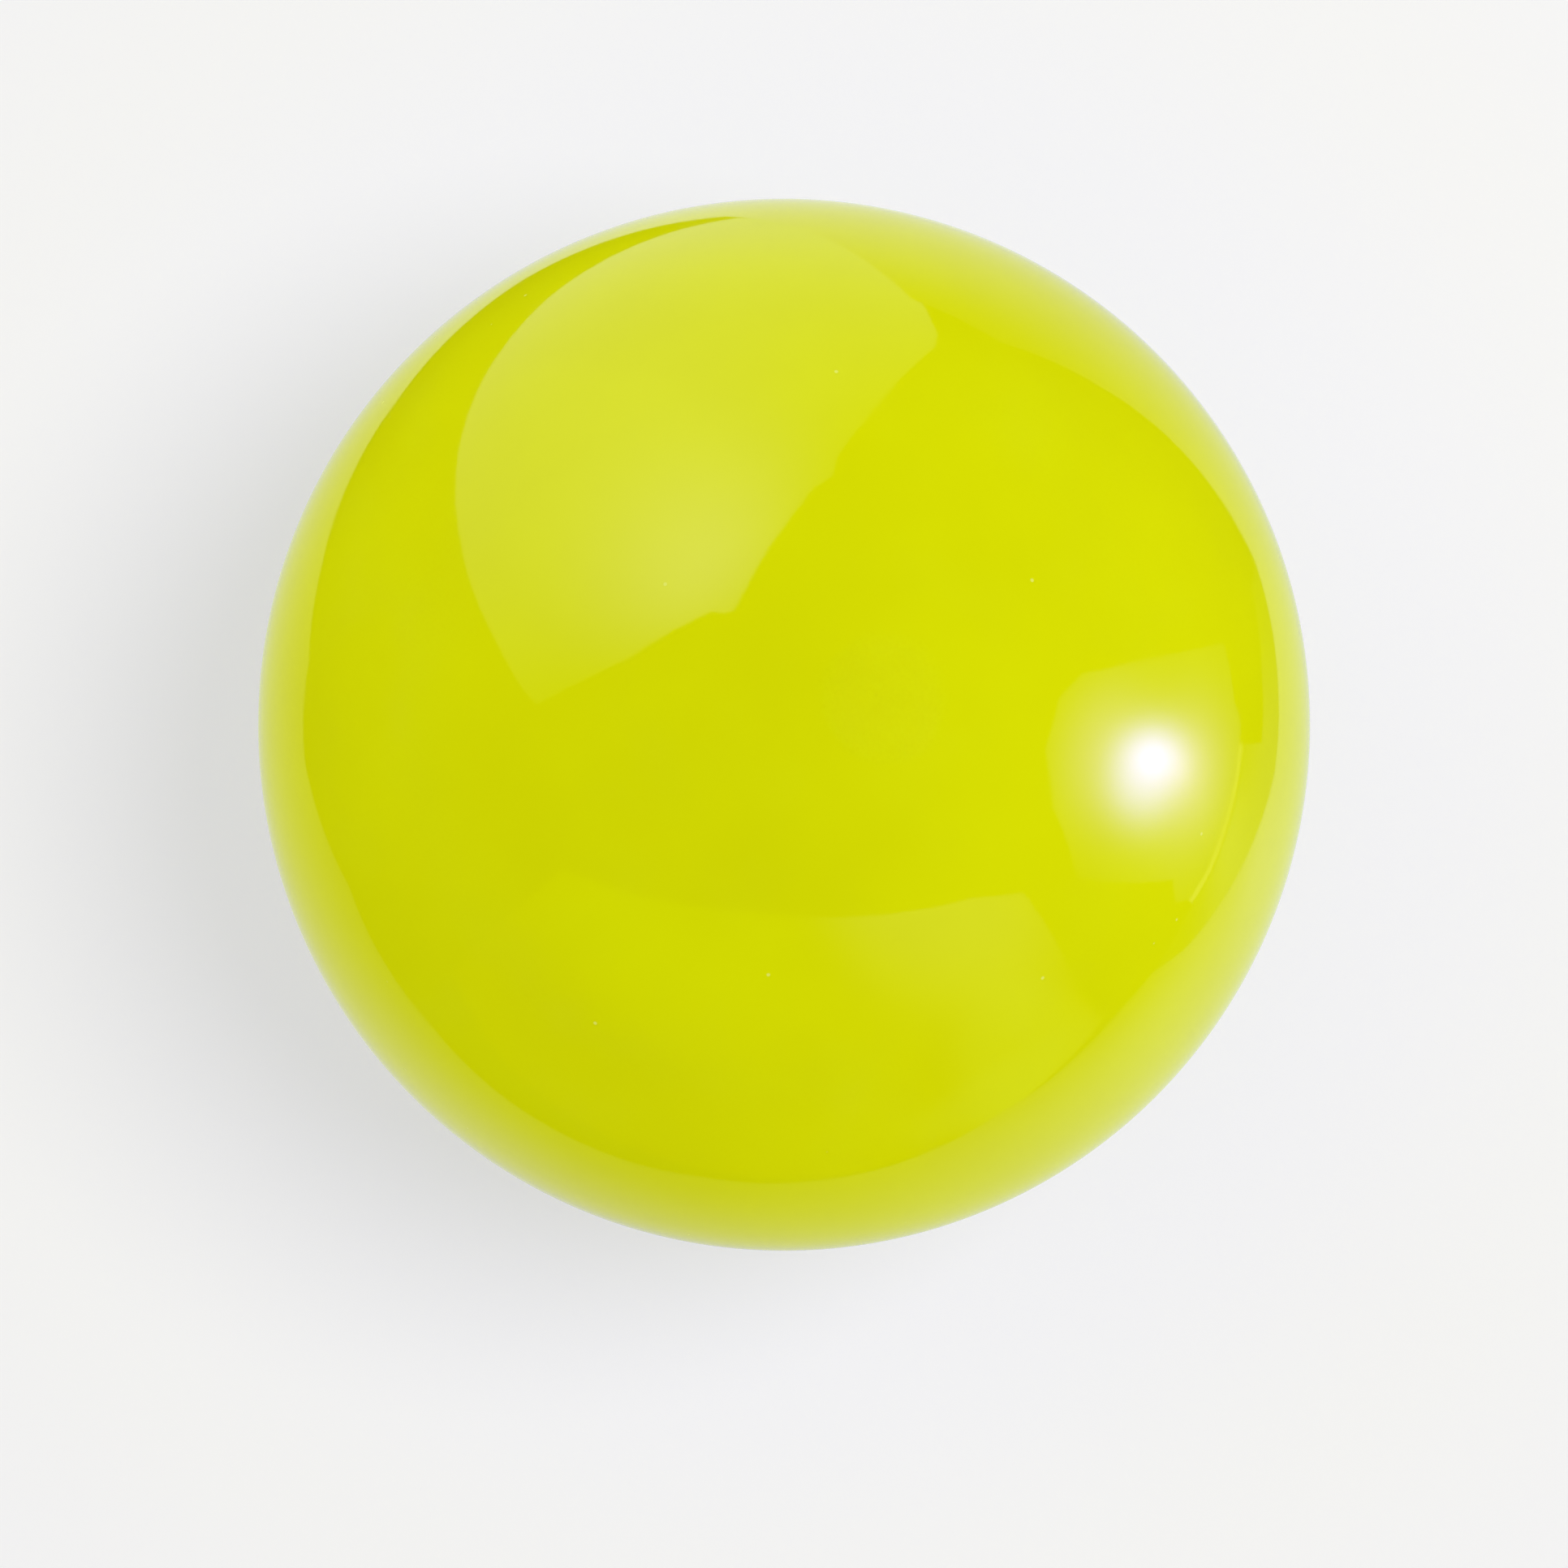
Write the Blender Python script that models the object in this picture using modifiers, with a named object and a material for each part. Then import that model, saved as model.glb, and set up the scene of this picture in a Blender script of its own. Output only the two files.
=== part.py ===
"""Inflatable vinyl play ball, in metres, +Z up, with its origin at the ball's centre.

The hollow skin is turned about the valve's axis, which lies along +X. A boss on its inside holds the
flange of the valve seat, and the ribbed plug pulls straight out of the seat along the same axis.
"""

import math

import bpy

# Skin
BALL_DIAMETER = 0.230
SKIN_WALL = 0.0012

# Valve pocket in the skin: a flat ring, a recess for the plug's head, and a boss behind them
LAND_WIDTH = 0.0027
RECESS_DIAMETER = 0.0128
LIP_ROUND = 0.0004
BOSS_COVER = 0.0022
BOSS_BACKING = 0.0026
BOSS_FILLET = 0.0030
BOSS_EDGE_ROUND = 0.0010

# Valve seat: a flange that the lip of the recess laps over, and a neck with the sealing bore
FLANGE_LAP = 0.0026
FLANGE_THICKNESS = 0.0020
NECK_WALL = 0.0020
NECK_LENGTH = 0.0110
NECK_CHAMFER = 0.0008
BORE_DIAMETER = 0.0052
BORE_LEAD_IN = 0.0006

# Plug: a flat head to lift with a fingernail, and a hollow shank with sealing rings
HEAD_THICKNESS = 0.0013
HEAD_SINK = 0.0002
HEAD_EDGE_ROUND = 0.0005
NAIL_GAP = 0.0007
RING_COUNT = 3
RING_HEIGHT = 0.0005
RING_CREST = 0.0004
RING_BACK = 0.0003
RING_GAP = 0.0010
TIP_REACH = 0.0015
TIP_TAPER = 0.0006
CORE_DIAMETER = 0.0016
CORE_FLOOR = 0.0015

# Room between neighbouring pieces
FIT_GAP = 0.0003

# Facets
BALL_STEPS = 64
VALVE_STEPS = 40
BALL_ARC_STEP = math.radians(6)
SMALL_ARC_STEP = math.radians(30)
SHARP_ANGLE = math.radians(32)
MERGE_DISTANCE = 0.00001

VINYL_LIME = (0.65, 0.70, 0.004, 1)
SEAT_VINYL = (0.70, 0.70, 0.66, 1)
PLUG_WHITE = (0.82, 0.82, 0.80, 1)

# Radii from the valve's axis
ball_radius = BALL_DIAMETER / 2
recess_radius = RECESS_DIAMETER / 2
land_radius = recess_radius + LAND_WIDTH
flange_radius = recess_radius + FLANGE_LAP
bore_radius = BORE_DIAMETER / 2
neck_radius = bore_radius + NECK_WALL
ring_radius = bore_radius - FIT_GAP
shank_radius = ring_radius - RING_HEIGHT
head_radius = recess_radius - NAIL_GAP

# Depths, measured inwards from the plane of the flat ring
head_under = HEAD_SINK + HEAD_THICKNESS
seat_face = head_under + FIT_GAP
flange_back = seat_face + FLANGE_THICKNESS
neck_end = flange_back + NECK_LENGTH
plug_end = neck_end + TIP_REACH
land_height = math.sqrt(ball_radius ** 2 - land_radius ** 2)


def arc(centre, radius, start, end, step):
    """Points on a circle of the profile plane, from one angle to the other, both included."""
    count = max(1, math.ceil(abs(end - start) / step - 1e-6))
    angles = [start + (end - start) * i / count for i in range(count + 1)]
    return [(centre[0] + radius * math.cos(a), centre[1] + radius * math.sin(a)) for a in angles]


def ball_arc(radius, top_angle):
    """Half a great circle, from the pole opposite the valve up to top_angle, with a point on the equator."""
    centre = (0, 0)
    lower = arc(centre, radius, -math.pi / 2, 0, BALL_ARC_STEP)
    lower[0] = (0, -radius)
    return lower + arc(centre, radius, 0, top_angle, BALL_ARC_STEP)[1:]


def material(name, colour, roughness):
    """A plain Principled finish."""
    finish = bpy.data.materials.new(name)
    finish.use_nodes = True
    finish.diffuse_color = colour
    shader = finish.node_tree.nodes["Principled BSDF"]
    shader.inputs["Base Color"].default_value = colour
    shader.inputs["Roughness"].default_value = roughness
    return finish


def turned(name, profile, closed, steps, finish):
    """Turn a profile of (radius, height) points about the local Z axis into a solid piece."""
    count = len(profile)
    edges = [(i, i + 1) for i in range(count - 1)]
    if closed:
        edges.append((count - 1, 0))
    outline = bpy.data.meshes.new(name + "_profile")
    outline.from_pydata([(radius, 0, height) for radius, height in profile], edges, [])
    piece = bpy.data.objects.new(name, outline)
    parts.objects.link(piece)

    screw = piece.modifiers.new("turn", "SCREW")
    screw.axis = "Z"
    screw.steps = steps
    screw.render_steps = steps
    screw.use_merge_vertices = True
    screw.merge_threshold = MERGE_DISTANCE

    evaluated = piece.evaluated_get(bpy.context.evaluated_depsgraph_get())
    solid = bpy.data.meshes.new_from_object(evaluated)
    solid.name = name
    piece.modifiers.clear()
    piece.data = solid
    bpy.data.meshes.remove(outline)
    solid.shade_smooth()
    solid.set_sharp_from_angle(angle=SHARP_ANGLE)
    solid.materials.append(finish)
    piece.parent = valve_axis
    return piece


def skin_profile():
    """Up the inside of the skin, over the boss, through the pocket, and down the outside."""
    inner_radius = ball_radius - SKIN_WALL
    hole_radius = neck_radius + FIT_GAP
    groove_radius = flange_radius + FIT_GAP
    boss_radius = groove_radius + BOSS_COVER
    groove_front = land_height - head_under
    groove_back = land_height - flange_back - FIT_GAP
    boss_end = groove_back - BOSS_BACKING

    fillet_out = boss_radius + BOSS_FILLET
    fillet_up = math.sqrt((inner_radius - BOSS_FILLET) ** 2 - fillet_out ** 2)
    fillet_angle = math.atan2(fillet_up, fillet_out)
    edge_centre = (boss_radius - BOSS_EDGE_ROUND, boss_end + BOSS_EDGE_ROUND)
    lip_centre = (recess_radius + LIP_ROUND, land_height - LIP_ROUND)

    inside = ball_arc(inner_radius, fillet_angle)
    boss = arc((fillet_out, fillet_up), BOSS_FILLET, fillet_angle, math.pi, SMALL_ARC_STEP)[1:]
    boss += arc(edge_centre, BOSS_EDGE_ROUND, 0, -math.pi / 2, SMALL_ARC_STEP)
    pocket = [
        (hole_radius, boss_end),
        (hole_radius, groove_back),
        (groove_radius, groove_back),
        (groove_radius, groove_front),
        (recess_radius, groove_front),
    ]
    lip = arc(lip_centre, LIP_ROUND, math.pi, math.pi / 2, SMALL_ARC_STEP)
    outside = ball_arc(ball_radius, math.atan2(land_height, land_radius))[::-1]
    return inside + boss + pocket + lip + outside


def seat_profile():
    """Once round the wall of the seat: flange, neck, end of the neck and bore."""
    return [
        (bore_radius + BORE_LEAD_IN, -seat_face),
        (flange_radius, -seat_face),
        (flange_radius, -flange_back),
        (neck_radius, -flange_back),
        (neck_radius, NECK_CHAMFER - neck_end),
        (neck_radius - NECK_CHAMFER, -neck_end),
        (bore_radius, -neck_end),
        (bore_radius, -seat_face - BORE_LEAD_IN),
    ]


def plug_profile():
    """From the middle of the head over its edge, down the ringed shank and up the blind core."""
    edge_centre = (head_radius - HEAD_EDGE_ROUND, -HEAD_SINK - HEAD_EDGE_ROUND)
    head = [(0, -HEAD_SINK)]
    head += arc(edge_centre, HEAD_EDGE_ROUND, math.pi / 2, 0, SMALL_ARC_STEP)
    head += [(head_radius, -head_under), (shank_radius, -head_under)]

    # The rings share the length of the bore, each with a steep back and a long lead towards the tip
    first_ring = seat_face + BORE_LEAD_IN
    pitch = (neck_end - first_ring) / RING_COUNT
    rings = []
    for i in range(RING_COUNT):
        back = first_ring + pitch * i
        crest = back + RING_BACK
        rings += [
            (shank_radius, -back),
            (ring_radius, -crest),
            (ring_radius, -crest - RING_CREST),
            (shank_radius, RING_GAP - back - pitch),
        ]

    core_radius = CORE_DIAMETER / 2
    core_floor = head_under + CORE_FLOOR
    end = [
        (shank_radius, -neck_end),
        (shank_radius - TIP_TAPER, -plug_end),
        (core_radius, -plug_end),
        (core_radius, -core_floor - core_radius),
        (0, -core_floor),
    ]
    return head + rings + end


for leftover in list(bpy.data.objects):
    bpy.data.objects.remove(leftover, do_unlink=True)

parts = bpy.data.collections.new("play_ball")
bpy.context.scene.collection.children.link(parts)

# The valve's axis: its local Z points out of the ball, along the world's +X
valve_axis = bpy.data.objects.new("valve_axis", None)
valve_axis.rotation_euler = (0, math.pi / 2, 0)
valve_axis.empty_display_size = ball_radius
parts.objects.link(valve_axis)

vinyl = material("lime_vinyl", VINYL_LIME, 0.08)
soft_vinyl = material("soft_seat_vinyl", SEAT_VINYL, 0.45)
polythene = material("white_plug_plastic", PLUG_WHITE, 0.35)

turned("ball_shell", skin_profile(), False, BALL_STEPS, vinyl)
seat = turned("valve_seat", seat_profile(), True, VALVE_STEPS, soft_vinyl)
plug = turned("valve_plug", plug_profile(), False, VALVE_STEPS, polythene)
for piece in (seat, plug):
    piece.location = (0, 0, land_height)
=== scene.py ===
import math

import bmesh
import bpy
from mathutils import Matrix, Vector


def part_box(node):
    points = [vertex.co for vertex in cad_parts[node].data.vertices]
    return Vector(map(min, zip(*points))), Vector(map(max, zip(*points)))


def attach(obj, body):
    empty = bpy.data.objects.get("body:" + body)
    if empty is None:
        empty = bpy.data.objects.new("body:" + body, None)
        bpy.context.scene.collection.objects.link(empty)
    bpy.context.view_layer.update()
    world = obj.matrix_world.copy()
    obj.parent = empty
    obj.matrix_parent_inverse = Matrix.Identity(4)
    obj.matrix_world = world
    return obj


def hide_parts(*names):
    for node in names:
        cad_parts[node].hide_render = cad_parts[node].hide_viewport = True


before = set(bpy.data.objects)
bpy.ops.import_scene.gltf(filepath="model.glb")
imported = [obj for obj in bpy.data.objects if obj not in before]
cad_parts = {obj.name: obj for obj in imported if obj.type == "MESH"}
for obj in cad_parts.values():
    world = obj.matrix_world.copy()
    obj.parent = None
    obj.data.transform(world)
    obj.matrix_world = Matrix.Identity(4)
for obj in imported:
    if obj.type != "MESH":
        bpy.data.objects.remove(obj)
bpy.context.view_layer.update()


# The vinyl skin: one hollow moulding of soft, glossy vinyl, about a millimetre thick.
# On its inside a boss swells round the valve, with a groove that locks the seat's flange in,
# and on its outside a flat ring surrounds the recess for the plug's head.
skin_low, skin_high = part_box("ball_shell")
seat_low, seat_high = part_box("valve_seat")
BALL_RADIUS = skin_high.z
SKIN_WALL = 0.0012
RECESS_RADIUS = 0.0064
LAND_RADIUS = 0.0091
LIP_ROUND = 0.0004
BOSS_RADIUS = 0.0115
BOSS_FILLET = 0.0030
BOSS_BACKING = 0.0026
BOSS_EDGE_ROUND = 0.0010
FIT_GAP = 0.0003
FLANGE_THICKNESS = 0.0020
NECK_RADIUS = 0.0046
SKIN_STEPS = 192
INSIDE_STEPS = 60
OUTSIDE_STEPS = 120
FILLET_STEPS = 12
ROUND_STEPS = 6
WELD_DISTANCE = 0.000001
CORNER_ANGLE = math.radians(40)
CORNER_SEGMENTS = 3
SHARP_ANGLE = math.radians(50)


def put(name, data):
    """An object in the scene for a mesh, a light or a camera."""
    made = bpy.data.objects.new(name, data)
    bpy.context.scene.collection.objects.link(made)
    return made


class Outline:
    """A turned piece's section, drawn as a chain of edges.

    In it, x runs along the valve and z out from the valve's axis.
    """

    def __init__(self, x, radius):
        self.mesh = bmesh.new()
        self.start = self.mesh.verts.new((x, 0, radius))
        self.tip = self.start

    def line(self, x, radius):
        """Go straight to a point."""
        self.tip = bmesh.ops.extrude_vert_indiv(self.mesh, verts=[self.tip])["verts"][0]
        self.tip.co = (x, 0, radius)

    def swing(self, x, radius, angle, steps):
        """Go round a centre.

        A positive angle leads from the side away from the valve outwards, then to the valve.
        """
        swung = bmesh.ops.spin(
            self.mesh, geom=[self.tip], cent=(x, 0, radius), axis=(0, 1, 0),
            angle=angle, steps=steps,
        )
        self.tip = next(part for part in swung["geom_last"] if isinstance(part, bmesh.types.BMVert))

    def close(self):
        """Join the end to the start, for a piece with a hole right through it."""
        bmesh.ops.contextual_create(self.mesh, geom=[self.tip, self.start])

    def turned(self, name, steps, edge_round=0):
        """Turn the section about the valve's axis, round its corners and make it an object."""
        bm = self.mesh
        bmesh.ops.spin(
            bm, geom=bm.verts[:] + bm.edges[:], cent=(0, 0, 0), axis=(1, 0, 0),
            angle=math.tau, steps=steps, use_merge=True,
        )
        bmesh.ops.remove_doubles(bm, verts=bm.verts, dist=WELD_DISTANCE)
        bmesh.ops.recalc_face_normals(bm, faces=bm.faces)
        if edge_round:
            corners = [
                edge for edge in bm.edges
                if edge.is_manifold and edge.calc_face_angle() > CORNER_ANGLE
            ]
            bmesh.ops.bevel(
                bm, geom=corners, offset=edge_round, offset_type="OFFSET", affect="EDGES",
                segments=CORNER_SEGMENTS, profile=0.5, material=-1, clamp_overlap=True,
            )
        for face in bm.faces:
            face.smooth = True
        mesh = bpy.data.meshes.new(name)
        bm.to_mesh(mesh)
        bm.free()
        mesh.set_sharp_from_angle(angle=SHARP_ANGLE)
        return put(name, mesh)


inner_radius = BALL_RADIUS - SKIN_WALL
fillet_radius = BOSS_RADIUS + BOSS_FILLET
fillet_x = math.sqrt((inner_radius - BOSS_FILLET) ** 2 - fillet_radius ** 2)
fillet_angle = math.atan2(fillet_x, fillet_radius)
flange_back = seat_high.x - FLANGE_THICKNESS
groove_back = flange_back - FIT_GAP
boss_end = groove_back - BOSS_BACKING
lip_back = seat_high.x + FIT_GAP
land_angle = math.acos(LAND_RADIUS / BALL_RADIUS)
quarter_turn = math.pi / 2

section = Outline(-inner_radius, 0)
section.swing(0, 0, quarter_turn + fillet_angle, INSIDE_STEPS)
section.swing(fillet_x, fillet_radius, math.pi - fillet_angle, FILLET_STEPS)
section.line(boss_end + BOSS_EDGE_ROUND, BOSS_RADIUS)
section.swing(
    boss_end + BOSS_EDGE_ROUND, BOSS_RADIUS - BOSS_EDGE_ROUND, -quarter_turn, ROUND_STEPS
)
section.line(boss_end, NECK_RADIUS + FIT_GAP)
section.line(groove_back, NECK_RADIUS + FIT_GAP)
section.line(groove_back, seat_high.z + FIT_GAP)
section.line(lip_back, seat_high.z + FIT_GAP)
section.line(lip_back, RECESS_RADIUS)
section.line(skin_high.x - LIP_ROUND, RECESS_RADIUS)
section.swing(skin_high.x - LIP_ROUND, RECESS_RADIUS + LIP_ROUND, -quarter_turn, ROUND_STEPS)
section.line(skin_high.x, LAND_RADIUS)
section.swing(0, 0, -quarter_turn - land_angle, OUTSIDE_STEPS)
vinyl_skin = section.turned("vinyl_skin", SKIN_STEPS)


class Value:
    """A material's value that changes over the surface. Arithmetic on it adds Math nodes."""

    def __init__(self, tree, socket=None):
        self.tree = tree
        self.socket = socket

    def node(self, kind, settings=None, inputs=None, output=0):
        """Add a node: its settings first, then the numbers or values of its sockets."""
        made = self.tree.nodes.new(kind)
        for name, setting in (settings or {}).items():
            setattr(made, name, setting)
        for name, value in (inputs or {}).items():
            if isinstance(value, Value):
                self.tree.links.new(value.socket, made.inputs[name])
            else:
                made.inputs[name].default_value = value
        return Value(self.tree, made.outputs[output] if made.outputs else None)

    def maths(self, operation, first, second):
        """A number from two others, through a Math node."""
        return self.node("ShaderNodeMath", {"operation": operation}, {0: first, 1: second})

    def __add__(self, other):
        return self.maths("ADD", self, other)

    def __sub__(self, other):
        return self.maths("SUBTRACT", self, other)

    def __rsub__(self, other):
        return self.maths("SUBTRACT", other, self)

    def __mul__(self, other):
        return self.maths("MULTIPLY", self, other)

    def __pow__(self, other):
        return self.maths("POWER", self, other)

    def __rpow__(self, other):
        return self.maths("POWER", other, self)

    __radd__ = __add__
    __rmul__ = __mul__

    def vector(self, operation, other=(0, 0, 0), output="Vector"):
        """This vector with another one, through a Vector Math node."""
        return self.node(
            "ShaderNodeVectorMath", {"operation": operation}, {0: self, 1: other}, output
        )

    def ramp(self, start, end, low=0.0, high=1.0):
        """A smooth rise from low to high while this value goes from start to end."""
        return self.node(
            "ShaderNodeMapRange", {"interpolation_type": "SMOOTHSTEP"},
            {"Value": self, "From Min": start, "From Max": end, "To Min": low, "To Max": high},
        )

    def mix(self, first, second, blend="MIX"):
        """A colour between two colours, by this value, or the first plus a share of the second.

        The Mix node's colours are its inputs 6 and 7 and its output 2.
        """
        return self.node(
            "ShaderNodeMix", {"data_type": "RGBA", "blend_type": blend},
            {"Factor": self, 6: first, 7: second}, output=2,
        )

    def noise(self, scale, detail):
        """A soft noise, from 0 to 1, over this place."""
        return self.node(
            "ShaderNodeTexNoise", inputs={"Vector": self, "Scale": scale, "Detail": detail}
        )

    def bump(self):
        """The surface's normal where this value is its height in metres."""
        return self.node("ShaderNodeBump", inputs={"Strength": 1, "Distance": 1, "Height": self})


def new_finish(name):
    """An empty material, and the place on its piece that its nodes start from."""
    finish = bpy.data.materials.new(name)
    finish.use_nodes = True
    finish.node_tree.nodes.clear()
    return finish, Value(finish.node_tree).node("ShaderNodeTexCoord", output="Object")


def dress(piece, finish, shader):
    """Make a shader the surface of a finish, and put the finish on a piece."""
    shader.node("ShaderNodeOutputMaterial", inputs={"Surface": shader})
    piece.data.materials.append(finish)


LIME = (0.645, 0.685, 0.0004, 1)
LIME_DEEP = (0.625, 0.657, 0.0002, 1)
LIME_BLOOM = (0.95, 1, 0.004, 1)
LIME_DUST = (0.7, 0.74, 0.09, 1)
SHEEN_WEIGHT = 0.3
SHEEN_ROUGHNESS = 0.5
PLASTIC_IOR = 1.5
NOISE_SPREAD = (0.3, 0.7)
SMEAR_SPREAD = (0.45, 0.75)
SKIN_ROUGHNESS = (0.05, 0.085)
WAVE_HEIGHT = 0.00016
PEEL_HEIGHT = 0.000004
DUST_SCALE = 70
DUST_SIZE = (0.02, 0.035)
DUST_ROUGHNESS = 0.3

lime_vinyl, place = new_finish("lime_vinyl")
cloud = place.noise(scale=22, detail=3)
wave = place.noise(scale=26, detail=1)
peel = place.noise(scale=420, detail=2)
smear = place.noise(scale=55, detail=5)
grit = place.node("ShaderNodeTexVoronoi", inputs={"Vector": place, "Scale": DUST_SCALE})
dust = grit.ramp(*DUST_SIZE, low=1, high=0)
shader = place.node("ShaderNodeBsdfPrincipled", inputs={
    "Base Color": dust.mix(cloud.ramp(*NOISE_SPREAD).mix(LIME_DEEP, LIME), LIME_DUST),
    "Roughness": smear.ramp(*SMEAR_SPREAD, *SKIN_ROUGHNESS) + DUST_ROUGHNESS * dust,
    "IOR": PLASTIC_IOR,
    "Sheen Weight": SHEEN_WEIGHT,
    "Sheen Roughness": SHEEN_ROUGHNESS,
    "Sheen Tint": LIME_BLOOM,
    "Normal": (WAVE_HEIGHT * wave + PEEL_HEIGHT * peel).bump(),
})
dress(vinyl_skin, lime_vinyl, shader)
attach(vinyl_skin, "ball")
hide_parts("ball_shell")


# The valve seat: a soft milky vinyl grommet that the skin is moulded round.
# Its flange sits in the boss's groove under the lip, and its bore grips the plug.
BORE_RADIUS = 0.0026
BORE_LEAD_IN = 0.0006
NECK_CHAMFER = 0.0008
EDGE_ROUND = 0.00015
SEAT_STEPS = 96
SEAT_MILK = (0.66, 0.67, 0.60, 1)
SEAT_MILK_DEEP = (0.56, 0.57, 0.49, 1)
SEAT_ROUGHNESS = (0.38, 0.5)
CLOUD_HEIGHT = 0.00002

section = Outline(seat_high.x, BORE_RADIUS + BORE_LEAD_IN)
section.line(seat_high.x, seat_high.z)
section.line(flange_back, seat_high.z)
section.line(flange_back, NECK_RADIUS)
section.line(seat_low.x + NECK_CHAMFER, NECK_RADIUS)
section.line(seat_low.x, NECK_RADIUS - NECK_CHAMFER)
section.line(seat_low.x, BORE_RADIUS)
section.line(seat_high.x - BORE_LEAD_IN, BORE_RADIUS)
section.close()
seat = section.turned("valve_seat_vinyl", SEAT_STEPS, EDGE_ROUND)

milky_vinyl, place = new_finish("milky_vinyl")
cloud = place.noise(scale=300, detail=4)
shader = place.node("ShaderNodeBsdfPrincipled", inputs={
    "Base Color": cloud.ramp(*NOISE_SPREAD).mix(SEAT_MILK_DEEP, SEAT_MILK),
    "Roughness": cloud.ramp(*NOISE_SPREAD, *SEAT_ROUGHNESS),
    "IOR": PLASTIC_IOR,
    "Normal": (CLOUD_HEIGHT * cloud).bump(),
})
dress(seat, milky_vinyl, shader)
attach(seat, "ball")
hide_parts("valve_seat")


# The plug: a white moulded polythene stopper, pushed into the seat by hand. Its flat head is
# slightly dished, with the mould's gate mark in the middle, and three barbed rings on its
# hollow shank seal in the bore.
plug_low, plug_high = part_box("valve_plug")
HEAD_THICKNESS = 0.0013
HEAD_EDGE_ROUND = 0.0005
DISH_DEPTH = 0.0004
DISH_RADIUS = 0.0046
DISH_SLOPE = 0.0005
GATE_RADIUS = 0.0007
GATE_HEIGHT = 0.0002
RING_RADIUS = 0.0023
SHANK_RADIUS = 0.0018
RING_COUNT = 3
RING_BACK = 0.0003
RING_CREST = 0.0004
RING_GAP = 0.0010
TIP_TAPER = 0.0006
CORE_RADIUS = 0.0008
CORE_FLOOR = 0.0015
PLUG_STEPS = 96
PLUG_WHITE = (0.80, 0.80, 0.775, 1)
PLUG_SHADE = (0.765, 0.762, 0.725, 1)
PLUG_ROUGHNESS = (0.3, 0.42)
GRAIN_HEIGHT = 0.000012

head_under = plug_high.x - HEAD_THICKNESS
first_ring = seat_high.x - BORE_LEAD_IN
pitch = (first_ring - seat_low.x) / RING_COUNT
dish = plug_high.x - DISH_DEPTH
section = Outline(dish + GATE_HEIGHT, 0)
section.line(dish + GATE_HEIGHT, GATE_RADIUS)
section.line(dish, GATE_RADIUS + GATE_HEIGHT)
section.line(dish, DISH_RADIUS - DISH_SLOPE)
section.line(plug_high.x, DISH_RADIUS)
section.line(plug_high.x, plug_high.z - HEAD_EDGE_ROUND)
section.swing(
    plug_high.x - HEAD_EDGE_ROUND, plug_high.z - HEAD_EDGE_ROUND, -quarter_turn, ROUND_STEPS
)
section.line(head_under, plug_high.z)
section.line(head_under, SHANK_RADIUS)
for i in range(RING_COUNT):
    back = first_ring - pitch * i
    section.line(back, SHANK_RADIUS)
    section.line(back - RING_BACK, RING_RADIUS)
    section.line(back - RING_BACK - RING_CREST, RING_RADIUS)
    section.line(back - pitch + RING_GAP, SHANK_RADIUS)
section.line(seat_low.x, SHANK_RADIUS)
section.line(plug_low.x, SHANK_RADIUS - TIP_TAPER)
section.line(plug_low.x, CORE_RADIUS)
section.line(head_under - CORE_FLOOR - CORE_RADIUS, CORE_RADIUS)
section.line(head_under - CORE_FLOOR, 0)
plug = section.turned("valve_plug_white", PLUG_STEPS, EDGE_ROUND)

white_polythene, place = new_finish("white_polythene")
tone = place.noise(scale=350, detail=3)
grain = place.noise(scale=2200, detail=3)
shader = place.node("ShaderNodeBsdfPrincipled", inputs={
    "Base Color": tone.ramp(*NOISE_SPREAD).mix(PLUG_SHADE, PLUG_WHITE),
    "Roughness": grain.ramp(*NOISE_SPREAD, *PLUG_ROUGHNESS),
    "IOR": PLASTIC_IOR,
    "Normal": (GRAIN_HEIGHT * grain).bump(),
})
dress(plug, white_polythene, shader)
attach(plug, "plug")
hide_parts("valve_plug")


# The floor: a plain pale sheet that the ball lies on, evenly bright away from the ball's shadow.
# The ball's gloss mirrors only a glowing board round the ball, which has the floor's light and
# the ball's shadow painted into its glow, with a dimmer glowing shelf to its right, and is dark
# past their edges.
FLOOR_SIZE = 40
FLOOR_PAINT = (0.905, 0.897, 0.92, 1)
# The near-ball colours are a painted cool tint that offsets the ball's yellow bounce light.
FLOOR_NEAR_BALL = (0.868, 0.86, 1, 1)
FLOOR_GLOW = (0.93, 0.93, 0.935, 1)
GLOW_NEAR_BALL = (0.925, 0.925, 0.985, 1)
FLOOR_BOUNCE = (0.28, 0.28, 0.28, 1)
BLACK = (0, 0, 0, 1)
UNDER_BALL = 0.45
ROUND_BALL = 1.08
GLOW_SPREAD = (0.35, 1.3)
GLOW_SHARE = (0.42, 1)


def sheet(name, corners):
    """A flat stage piece, from its corners."""
    bm = bmesh.new()
    bm.faces.new([bm.verts.new((x, y, 0)) for x, y in corners])
    mesh = bpy.data.meshes.new(name)
    bm.to_mesh(mesh)
    bm.free()
    made = put(name, mesh)
    return made


half = FLOOR_SIZE / 2
floor = sheet("floor", [(-half, -half), (half, -half), (half, half), (-half, half)])
floor.location.z = skin_low.z
floor.visible_glossy = False
pale_floor, place = new_finish("pale_floor")
camera_ray = place.node("ShaderNodeLightPath", output="Is Camera Ray")
reach = place.vector("LENGTH", output="Value")
away = reach.ramp(BALL_RADIUS, 2 * BALL_RADIUS)
open_floor = reach.ramp(UNDER_BALL * BALL_RADIUS, ROUND_BALL * BALL_RADIUS)
# Near the ball, paint and glow turn to a painted cool tint against the ball's yellow bounce light.
tone = away.mix(FLOOR_NEAR_BALL, FLOOR_PAINT)
shine = away.mix(GLOW_NEAR_BALL, FLOOR_GLOW)
# The camera sees more of the glow, and less of the shadow on the paint, further out.
share = camera_ray * open_floor * reach.ramp(*GLOW_SPREAD, *GLOW_SHARE)
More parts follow.
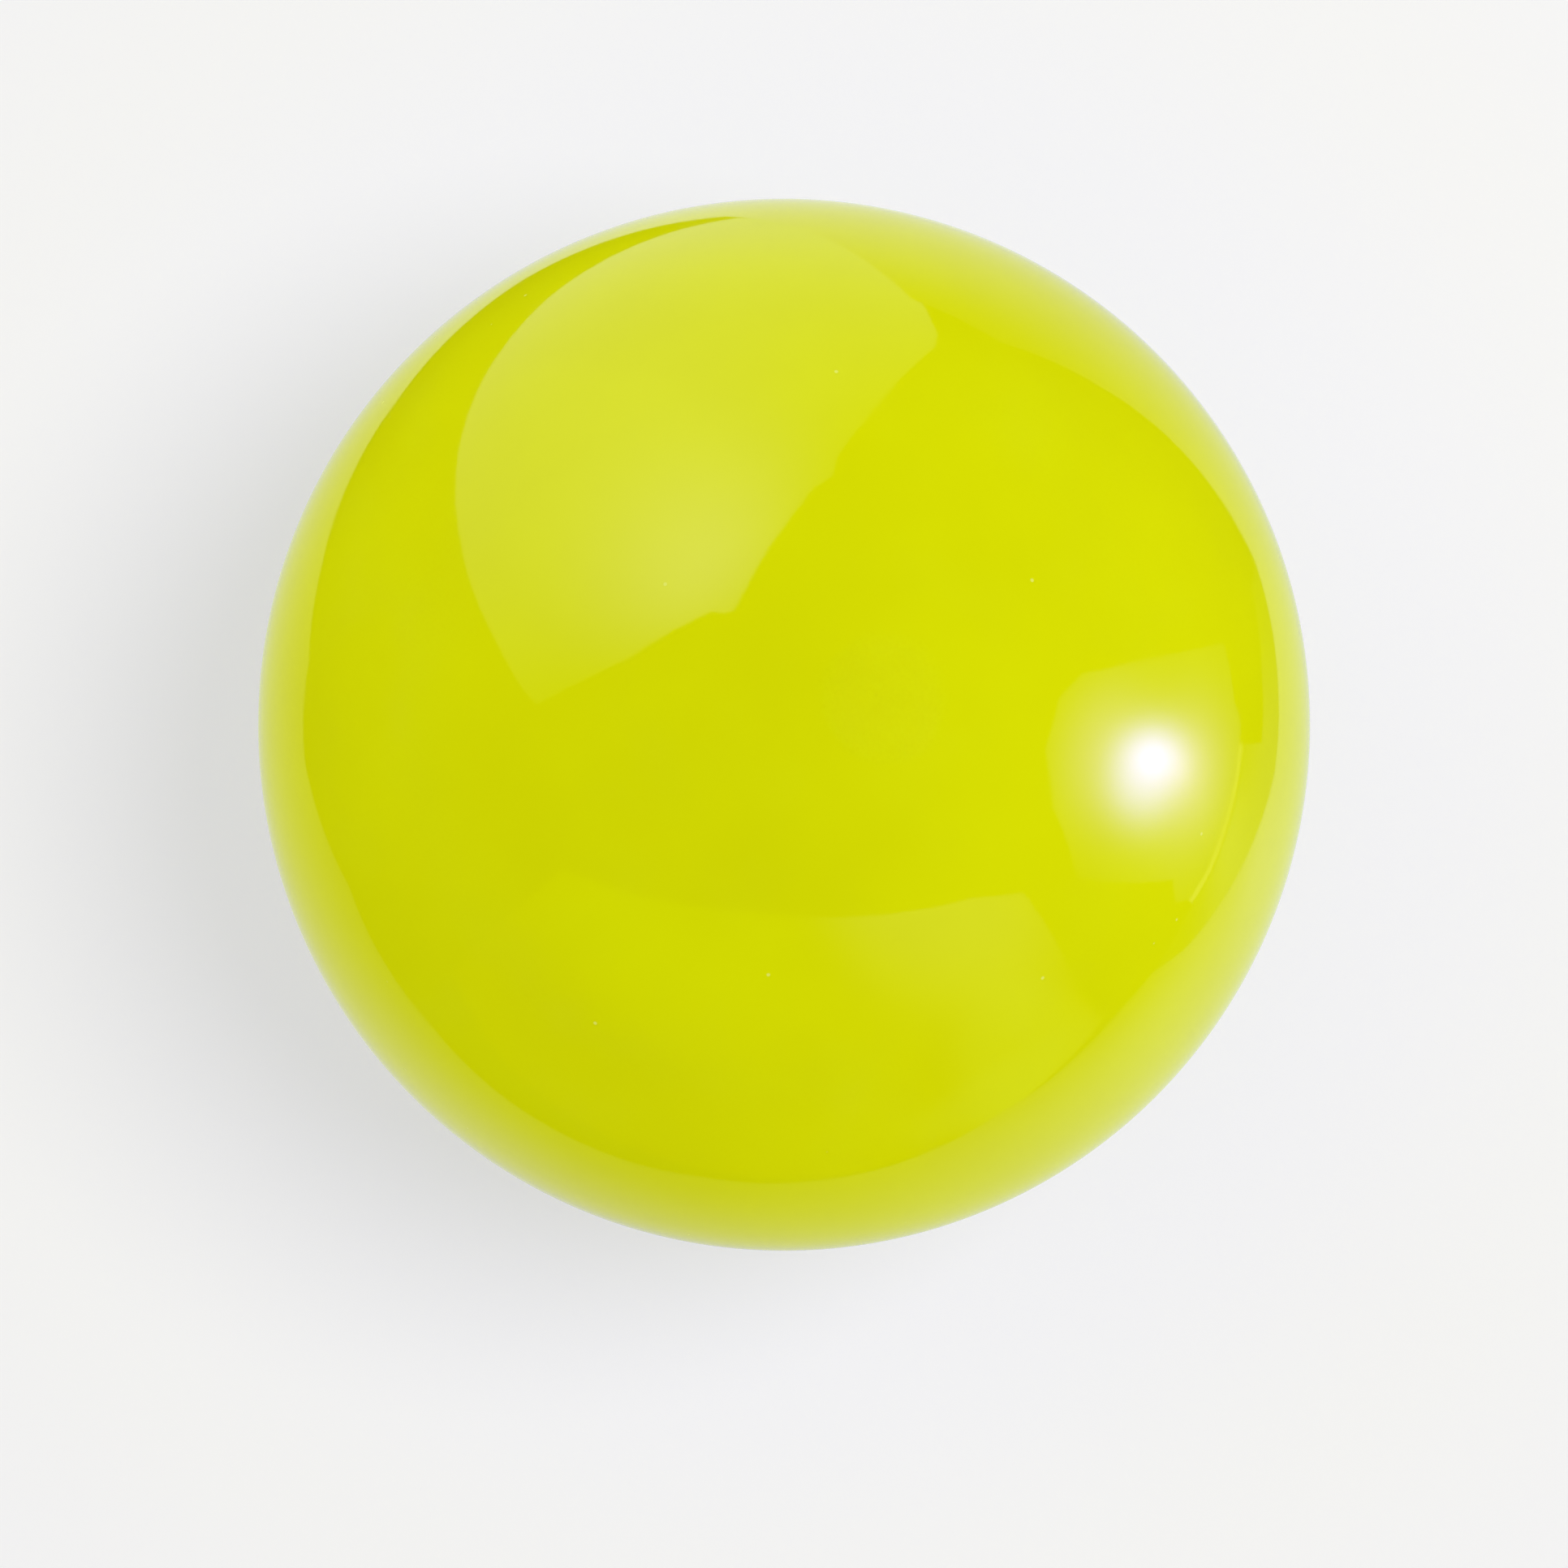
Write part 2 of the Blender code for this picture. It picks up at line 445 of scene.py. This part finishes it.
# Every other ray finds a floor that glows and lights the ball from below;
# under the ball the glow fades out, as a painted shadow.
bounce = (open_floor * (1 - camera_ray)).mix(BLACK, FLOOR_BOUNCE)
paint = place.node("ShaderNodeBsdfDiffuse", inputs={"Color": tone})
glow = place.node("ShaderNodeEmission", inputs={"Color": shine, "Strength": 1})
lift = place.node("ShaderNodeEmission", inputs={"Color": bounce, "Strength": 1})
seen = place.node("ShaderNodeMixShader", inputs={0: share, 1: paint, 2: glow})
dress(floor, pale_floor, place.node("ShaderNodeAddShader", inputs={0: seen, 1: lift}))
pale_floor.cycles.emission_sampling = "NONE"


def bright(tint, strength):
    """A tint at a strength that may pass 1."""
    return tuple(strength * part for part in tint[:3]) + (1,)


def soft_spot(place, centre, half_size, flatness):
    """A spot in a sheet's own plane that fades out from 1 at its centre, later where flatter."""
    scaled = place.vector("SUBTRACT", (*centre, 0)).vector("DIVIDE", (*half_size, 1))
    spread = scaled.vector("DOT_PRODUCT", scaled, "Value")
    return math.e ** (-1 * spread ** flatness)


def gloss_card(name, where, light, corners, patches=(), shade=None):
    """A glowing sheet that shows only in gloss, put in its place by a matrix.

    Each patch is (tint, strength, centre, half-size, flatness) of a soft spot in the sheet's own
    plane, added to its light. A shade is (dark, open), the distances from the sheet's middle
    between which a round painted shadow ends.
    """
    card = sheet(name, corners)
    card.matrix_world = where
    card.visible_camera = False
    card.visible_diffuse = False
    card.visible_shadow = False
    finish, place = new_finish(name)
    for tint, strength, centre, half_size, flatness in patches:
        fade = soft_spot(place, centre, half_size, flatness)
        light = fade.mix(light, bright(tint, strength), "ADD")
    if shade:
        # A painted round shadow: the glow fades to black towards the sheet's middle.
        light = place.vector("LENGTH", output="Value").ramp(*shade).mix(BLACK, light)
    dress(card, finish, place.node("ShaderNodeEmission", inputs={"Color": light, "Strength": 1}))
    finish.cycles.emission_sampling = "NONE"


COOL = (0.25, 0.25, 1, 1)
AIR = (0.7, 0.9, 1, 1)
MILK = (0.85, 1, 0.6, 1)
HAZE = (0.7, 1, 0.7, 1)
on_floor = Matrix.Translation((0, 0, skin_low.z)) @ Matrix.Scale(BALL_RADIUS, 4)
# The board's glow is painted light that stands in for the lit floor in the ball's gloss; its shade
# is a painted shadow under the ball.
gloss_card(
    "board", on_floor, light=(0.2, 0.18, 0.05, 1),
    corners=[
        (2.38, -0.2), (2.3, 0.2), (2.1, 0.75), (2.6, 2.85), (2.8, 5), (1.5, 5), (-0.2, 1.8),
        (-0.85, 1.45), (-1.55, 1.3), (-2.4, 0.85), (-2.9, 0.4), (-2.85, -0.2), (-3.4, -1.25),
        (-2.7, -2.35), (-0.7, -3.75), (2.45, -4.3), (4.1, -3.4), (4.2, -2.8), (3.4, -1.9),
        (2.85, -1),
    ],
    patches=[
        (COOL, 0.5, (-0.05, 1.5), (1.65, 2.3), 1),
        (MILK, 0.37, (-1.25, 0.25), (2, 2.75), 1),
        (AIR, 0.5, (2.1, -0.9), (1.65, 2.85), 1),
        (COOL, 0.22, (-1.15, -1.45), (1.1, 1), 1),
        (COOL, 1.4, (0, 0), (0.95, 0.95), 1),
        (COOL, 0.2, (2.35, -0.6), (0.45, 0.35), 1),
    ],
    shade=(UNDER_BALL, ROUND_BALL),
)
gloss_card(
    "shelf", on_floor, light=(0.05, 0.08, 0.025, 1),
    corners=[
        (2.38, -0.2), (2.85, -1), (3.4, -1.9), (4.2, -2.8), (4.5, -2.1), (4.1, -1.4),
        (3.9, -0.7), (3.78, -0.15), (2.95, -0.1), (2.85, 0.3), (2.5, 0.75), (2.1, 0.75),
        (2.3, 0.2),
    ],
    patches=[
        (HAZE, 0.42, (4.2, -0.95), (2.2, 0.55), 1),
        (COOL, 0.11, (2.7, -0.1), (0.8, 0.45), 1),
    ],
)


# The light: a studio fill that is brightest low down, a broad soft key high on the right, a low
# fill from the left, and cards round the ball that only its gloss shows.
FILL_LOW = 1.8
FILL_HIGH = 0.53
FILL_TURN = 0.35
BACKDROP = (0.93, 0.93, 0.93, 1)
GLOSS_DARK = (0.003, 0.003, 0.003, 1)

world = bpy.data.worlds.new("studio")
bpy.context.scene.world = world
world.use_nodes = True
world.node_tree.nodes.clear()
toward = Value(world.node_tree).node("ShaderNodeTexCoord", output="Generated")
camera_ray = toward.node("ShaderNodeLightPath", output="Is Camera Ray")
glossy_ray = toward.node("ShaderNodeLightPath", output="Is Glossy Ray")
rise = toward.node("ShaderNodeSeparateXYZ", inputs={0: toward}, output="Z")
fill = rise.ramp(0, FILL_TURN, FILL_LOW, FILL_HIGH)
# The camera sees a pale backdrop, gloss a dark room, and every other ray the fill.
seen = camera_ray.mix(glossy_ray.mix(fill, GLOSS_DARK), BACKDROP)
studio = toward.node("ShaderNodeBackground", inputs={"Color": seen, "Strength": 1})
toward.node("ShaderNodeOutputWorld", inputs={"Surface": studio})


def direction(azimuth, elevation):
    """A unit vector; azimuth in degrees from +X towards +Y, elevation above the horizon."""
    a, e = math.radians(azimuth), math.radians(elevation)
    return Vector((math.cos(e) * math.cos(a), math.cos(e) * math.sin(a), math.sin(e)))


def soft_light(name, azimuth, elevation, distance, size, power):
    """A round soft light that faces the ball and stays out of its gloss."""
    lamp = bpy.data.lights.new(name, "AREA")
    lamp.shape = "DISK"
    lamp.size = size
    lamp.energy = power
    light = put(name, lamp)
    light.location = direction(azimuth, elevation) * distance
    light.rotation_euler = (-light.location).to_track_quat("-Z", "Y").to_euler()
    light.visible_glossy = False
    light.visible_camera = False


soft_light("key", azimuth=13, elevation=69, distance=2.0, size=0.9, power=18.6)
soft_light("left_fill", azimuth=152, elevation=8, distance=1.6, size=1.0, power=4.4)

CARD_DISTANCE = 1.5


def facing(azimuth, elevation):
    """The place of a card that faces the ball: x across, y up, both per metre of its distance."""
    across, up = direction(azimuth + 90, 0), direction(azimuth, elevation + 90)
    out = direction(azimuth, elevation)
    turn = Matrix((across, up, out)).transposed().to_4x4()
    return Matrix.Translation(out * CARD_DISTANCE) @ turn @ Matrix.Scale(CARD_DISTANCE, 4)


LEAF = (0.5, 1, 0, 1)
LILAC = (0.35, 0.05, 1, 1)
PEARL = (0.55, 0.35, 1, 1)
FLASH = (0.31, 0.25, 1, 1)
MOSS = (0.5, 1, 0.2, 1)
gloss_card(
    "tall_card", facing(azimuth=126.3, elevation=2.9), light=bright(LEAF, 0.5),
    corners=[
        (1.1, 1.07), (0.55, 1.5), (-0.05, 1.73), (-0.13, 1.88), (-0.2, 1.91), (-0.57, 1.42),
        (-0.9, 1.06), (-1.04, 1), (-1.06, 0.85), (-1.62, -0.2), (-1.62, -0.35), (-1.28, -0.88),
        (-0.94, -1.2), (-0.66, -1.72), (0, -0.6), (0.78, 0.59), (1.02, 0.92),
    ],
    patches=[
        (LILAC, 0.78, (0.2, -1.05), (2.3, 1.5), 1),
        (PEARL, 1.6, (-0.15, 1.17), (0.57, 0.74), 1),
    ],
)
gloss_card(
    "low_card", facing(azimuth=-91, elevation=0), light=(0.25, 0.15, 0, 1),
    corners=[
        (-1.45, 1.15), (-1.31, -0.2), (-0.8, -0.37), (1.13, -0.4), (1.15, -0.07), (1.48, 0.88),
        (1.11, 1.06), (-0.2, 1.21),
    ],
    patches=[
        (COOL, 0.37, (0.97, 1.63), (0.75, 1.35), 3),
        (MOSS, 0.42, (0.81, -0.19), (0.32, 0.57), 3),
        (MOSS, 0.2, (0.62, -0.22), (0.31, 0.18), 3),
        (LEAF, 0.65, (-0.6, 1), (1, 0.6), 2),
    ],
)
at_right = facing(azimuth=-6, elevation=4)
gloss_card(
    "softbox", at_right, light=(0.03, 0.1, 0.06, 1),
    corners=[
        (0.27, 0.41), (0.31, -0.43), (0.17, -0.445), (0.12, -0.5), (0, -0.48), (-0.15, -0.442),
        (-0.23, -0.427), (-0.315, -0.385), (-0.335, -0.3), (-0.28, -0.22), (-0.39, 0.27),
        (-0.2, 0.5), (0, 0.59), (0.19, 0.53),
    ],
    patches=[
        (FLASH, 12.3, (0.03, 0.055), (0.07, 0.15), 1),
        (FLASH, 12, (-0.045, 0.095), (0.11, 0.155), 1.1),
        (PEARL, 5.7, (-0.015, -0.1), (0.115, 0.17), 0.7),
        (PEARL, 2.4, (0, 0.275), (0.2, 0.21), 1.2),
    ],
)
gloss_card(
    "softbox_edge", at_right, light=(1, 1, 0.42, 1),
    corners=[
        (0.07, -0.492), (0, -0.48), (-0.15, -0.442), (-0.23, -0.427), (-0.315, -0.385),
        (-0.32, -0.42), (-0.235, -0.46), (-0.155, -0.476), (0, -0.513), (0.07, -0.526),
    ],
)


# The camera: straight above the ball, ten ball radii from its centre, as in the photograph.
# The ball lies a little above the middle of the picture.
CAMERA_HEIGHT = 10 * BALL_RADIUS
LENS = 120.2
SENSOR_WIDTH = 36
BALL_ABOVE_MIDDLE = 0.0129

camera_data = bpy.data.cameras.new("camera")
camera_data.lens = LENS
camera_data.sensor_width = SENSOR_WIDTH
camera = put("camera", camera_data)
camera.location = (0, -BALL_ABOVE_MIDDLE, CAMERA_HEIGHT)
bpy.context.scene.camera = camera
bpy.context.scene.view_settings.view_transform = "Standard"
